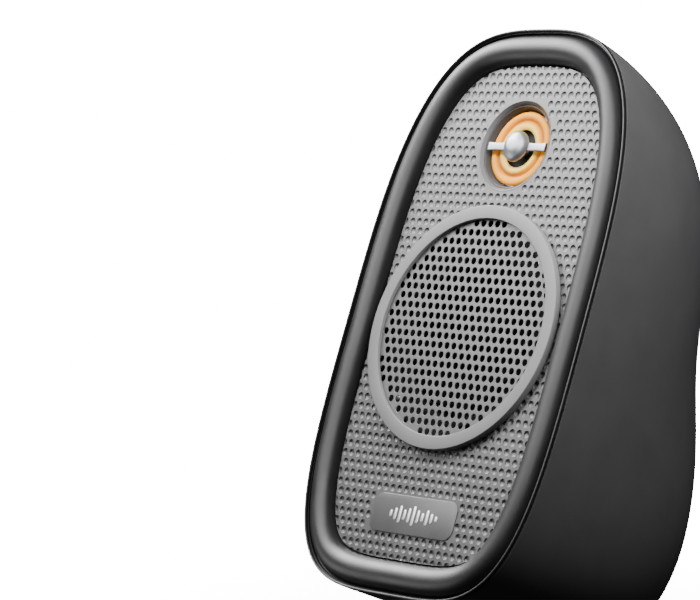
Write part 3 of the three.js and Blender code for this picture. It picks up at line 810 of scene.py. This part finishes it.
def feet():
    for number in range(1, 5):
        node = f"rubber_foot_{number}"
        low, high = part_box(node)
        spot = Matrix.Translation(((low.x + high.x) / 2, (low.y + high.y) / 2, low.z))
        place = spot @ Matrix.Scale(0.001, 4)
        tall = (high.z - low.z) * 1000
        profile = rounded([
            (0, tall), (5, tall, 0.2), (4.7, 0.5, 0.4), (4.2, 0, 0.4), (3.2, 0, 0.3),
            (2.9, 0.4, 0.3), (0, 0.4),
        ], 4, closed=False)
        piece = add_turned(f"foot_{number}", profile, place, rubber, 48, closed=False, node=node)


def carried_over():
    """Better materials on the CAD nodes whose shape is right, with painted shade on the tweeter yoke.
    """
    by_slot = {
        "case_plastic": case, "basket_steel": basket_paint, "zinc": zinc, "ferrite": ferrite,
        "rubber": rubber, "copper": copper, "brass": brass, "board_laminate": laminate,
        "lever_black": black_plastic, "lever_red": red_plastic, "wire_red": red_plastic,
        "wire_black": black_plastic, "damping_felt": felt, "bridge_aluminium": silver,
        "front_paint": paint, "bezel_gloss": gloss, "grille_steel": paint,
        "cone_paper": cone_paper, "spider_cloth": spider_cloth, "diaphragm_amber": amber,
    }
    for entry in frame["record"]["subparts"]:
        node = frame["nodes"][entry["node"]]
        for slot in node.material_slots:
            slot.material = by_slot[entry["material_slot"]]
    # Painted shade: the tweeter yoke gets the black basket paint in place of its zinc, so that the gap
    # round the plug reads dark.
    for slot in frame["nodes"]["tweeter_yoke"].material_slots:
        slot.material = basket_paint


# Studio
def area_light(name, toward, distance, width, height, power, lights):
    """A soft box that faces the woofer; it lights only matt surfaces or only reflections."""
    data = bpy.data.lights.new(name, "AREA")
    data.shape = "RECTANGLE"
    data.size, data.size_y = width, height
    data.energy = power
    lamp = bpy.data.objects.new(name, data)
    bpy.context.collection.objects.link(lamp)
    direction = Vector(toward).normalized()
    lamp.location = CENTRE + direction * distance
    lamp.rotation_euler = (-direction).to_track_quat("-Z", "Y").to_euler()
    lamp.visible_glossy = lights == "gloss"
    lamp.visible_diffuse = lights == "matt"


def camera():
    data = bpy.data.cameras.new("camera")
    data.lens = 164.4
    data.sensor_width = 36
    data.clip_start, data.clip_end = 0.05, 20
    seer = bpy.data.objects.new("camera", data)
    bpy.context.collection.objects.link(seer)
    seer.location = UPRIGHT @ Vector((743.8, -701.0, 79.1))
    aim = UPRIGHT @ Vector((-24.2, -26.6, 8.8))
    seer.rotation_euler = (aim - seer.location).to_track_quat("-Z", "Y").to_euler()
    bpy.context.scene.camera = seer


def world_light():
    """Plain white behind the object, and a weak even light on it."""
    world = bpy.data.worlds.new("studio")
    bpy.context.scene.world = world
    world.use_nodes = True
    tree = world.node_tree
    ambient = tree.nodes["Background"]
    ambient.inputs["Strength"].default_value = 0.03
    seen = tree.nodes.new("ShaderNodeBackground")
    seen.inputs["Strength"].default_value = 24.0
    for background in (ambient, seen):
        background.inputs["Color"].default_value = (1, 1, 1, 1)
    path = tree.nodes.new("ShaderNodeLightPath")
    mix = tree.nodes.new("ShaderNodeMixShader")
    tree.links.new(path.outputs["Is Camera Ray"], mix.inputs["Fac"])
    tree.links.new(ambient.outputs["Background"], mix.inputs[1])
    tree.links.new(seen.outputs["Background"], mix.inputs[2])
    tree.links.new(mix.outputs["Shader"], tree.nodes["World Output"].inputs["Surface"])


def floor_sheet():
    """A pale round floor, most opaque near the object so that it shows a painted soft shadow there,
    fading out into the white; real shadows fall on it too, and it casts no light on the object.
    """
    made = Nodes("floor_with_painted_shadow")
    made.shader.inputs["Base Color"].default_value = (0.95, 0.95, 0.95, 1)
    made.shader.inputs["Roughness"].default_value = 0.8
    away = made.node("ShaderNodeVectorMath", operation="LENGTH")
    made.link(made.place, away.inputs[0])
    # Painted shadow: the floor's opacity is 0.45 within 8 cm of the object and none beyond 34 cm, with
    # a little noise on its edge, so it shows a soft grey pool.
    shadow_reach = made.node("ShaderNodeMath", operation="MULTIPLY_ADD")
    made.link(made.noise(60, 2), shadow_reach.inputs[0])
    shadow_reach.inputs[1].default_value = 0.02
    made.link(away.outputs["Value"], shadow_reach.inputs[2])
    made.link(made.spread(shadow_reach.outputs["Value"], 0.45, 0.0, 0.08, 0.34), made.shader.inputs["Alpha"])
    vertices, faces = turned([(0, 0), (400, 0)], 96, closed=False)
    mesh = bpy.data.meshes.new("floor")
    mesh.from_pydata(vertices, [], clean(vertices, faces))
    mesh.transform(Matrix.Scale(0.001, 4))
    floor = bpy.data.objects.new("floor", mesh)
    bpy.context.collection.objects.link(floor)
    mesh.materials.append(made.material)
    floor.visible_diffuse = False
    floor.visible_glossy = False


def studio():
    world_light()
    floor_sheet()
    area_light("key", (-0.12, -0.3, 0.9), 0.34, 0.12, 0.12, 2.3, "matt")
    area_light("front_box", (-0.16, -0.6, 0.62), 0.75, 1.1, 0.55, 14.5, "gloss")
    area_light("top_box", (-0.7, -0.1, 0.66), 0.75, 0.45, 0.4, 15, "gloss")
    area_light("low_box", (-0.75, -0.6, -0.22), 0.75, 0.5, 0.3, 1.5, "gloss")
    area_light("side", (0.75, -0.05, 0.72), 0.31, 0.12, 0.12, 2.1, "matt")


camera()
studio()
body_shell()
front_bezel()
face_panel()
woofer_grille()
trim_ring()
badge()
woofer()
tweeter()
terminal_cup()
lever(-1, "press_red", "terminal_lever_red", "lever_red", red_plastic)
lever(1, "press_black", "terminal_lever_black", "lever_black", black_plastic)
for index, (side_x, side_z) in enumerate(((-1, -1), (-1, 1), (1, -1), (1, 1)), 1):
    spot_x, spot_z = side_x * TERMINAL_SCREW[0], -side_z * TERMINAL_SCREW[1]
    cross_screw(f"cup_screw_{index}", spot_x, spot_z, f"terminal_screw_{index}")
rating_plate()
feet()
carried_over()
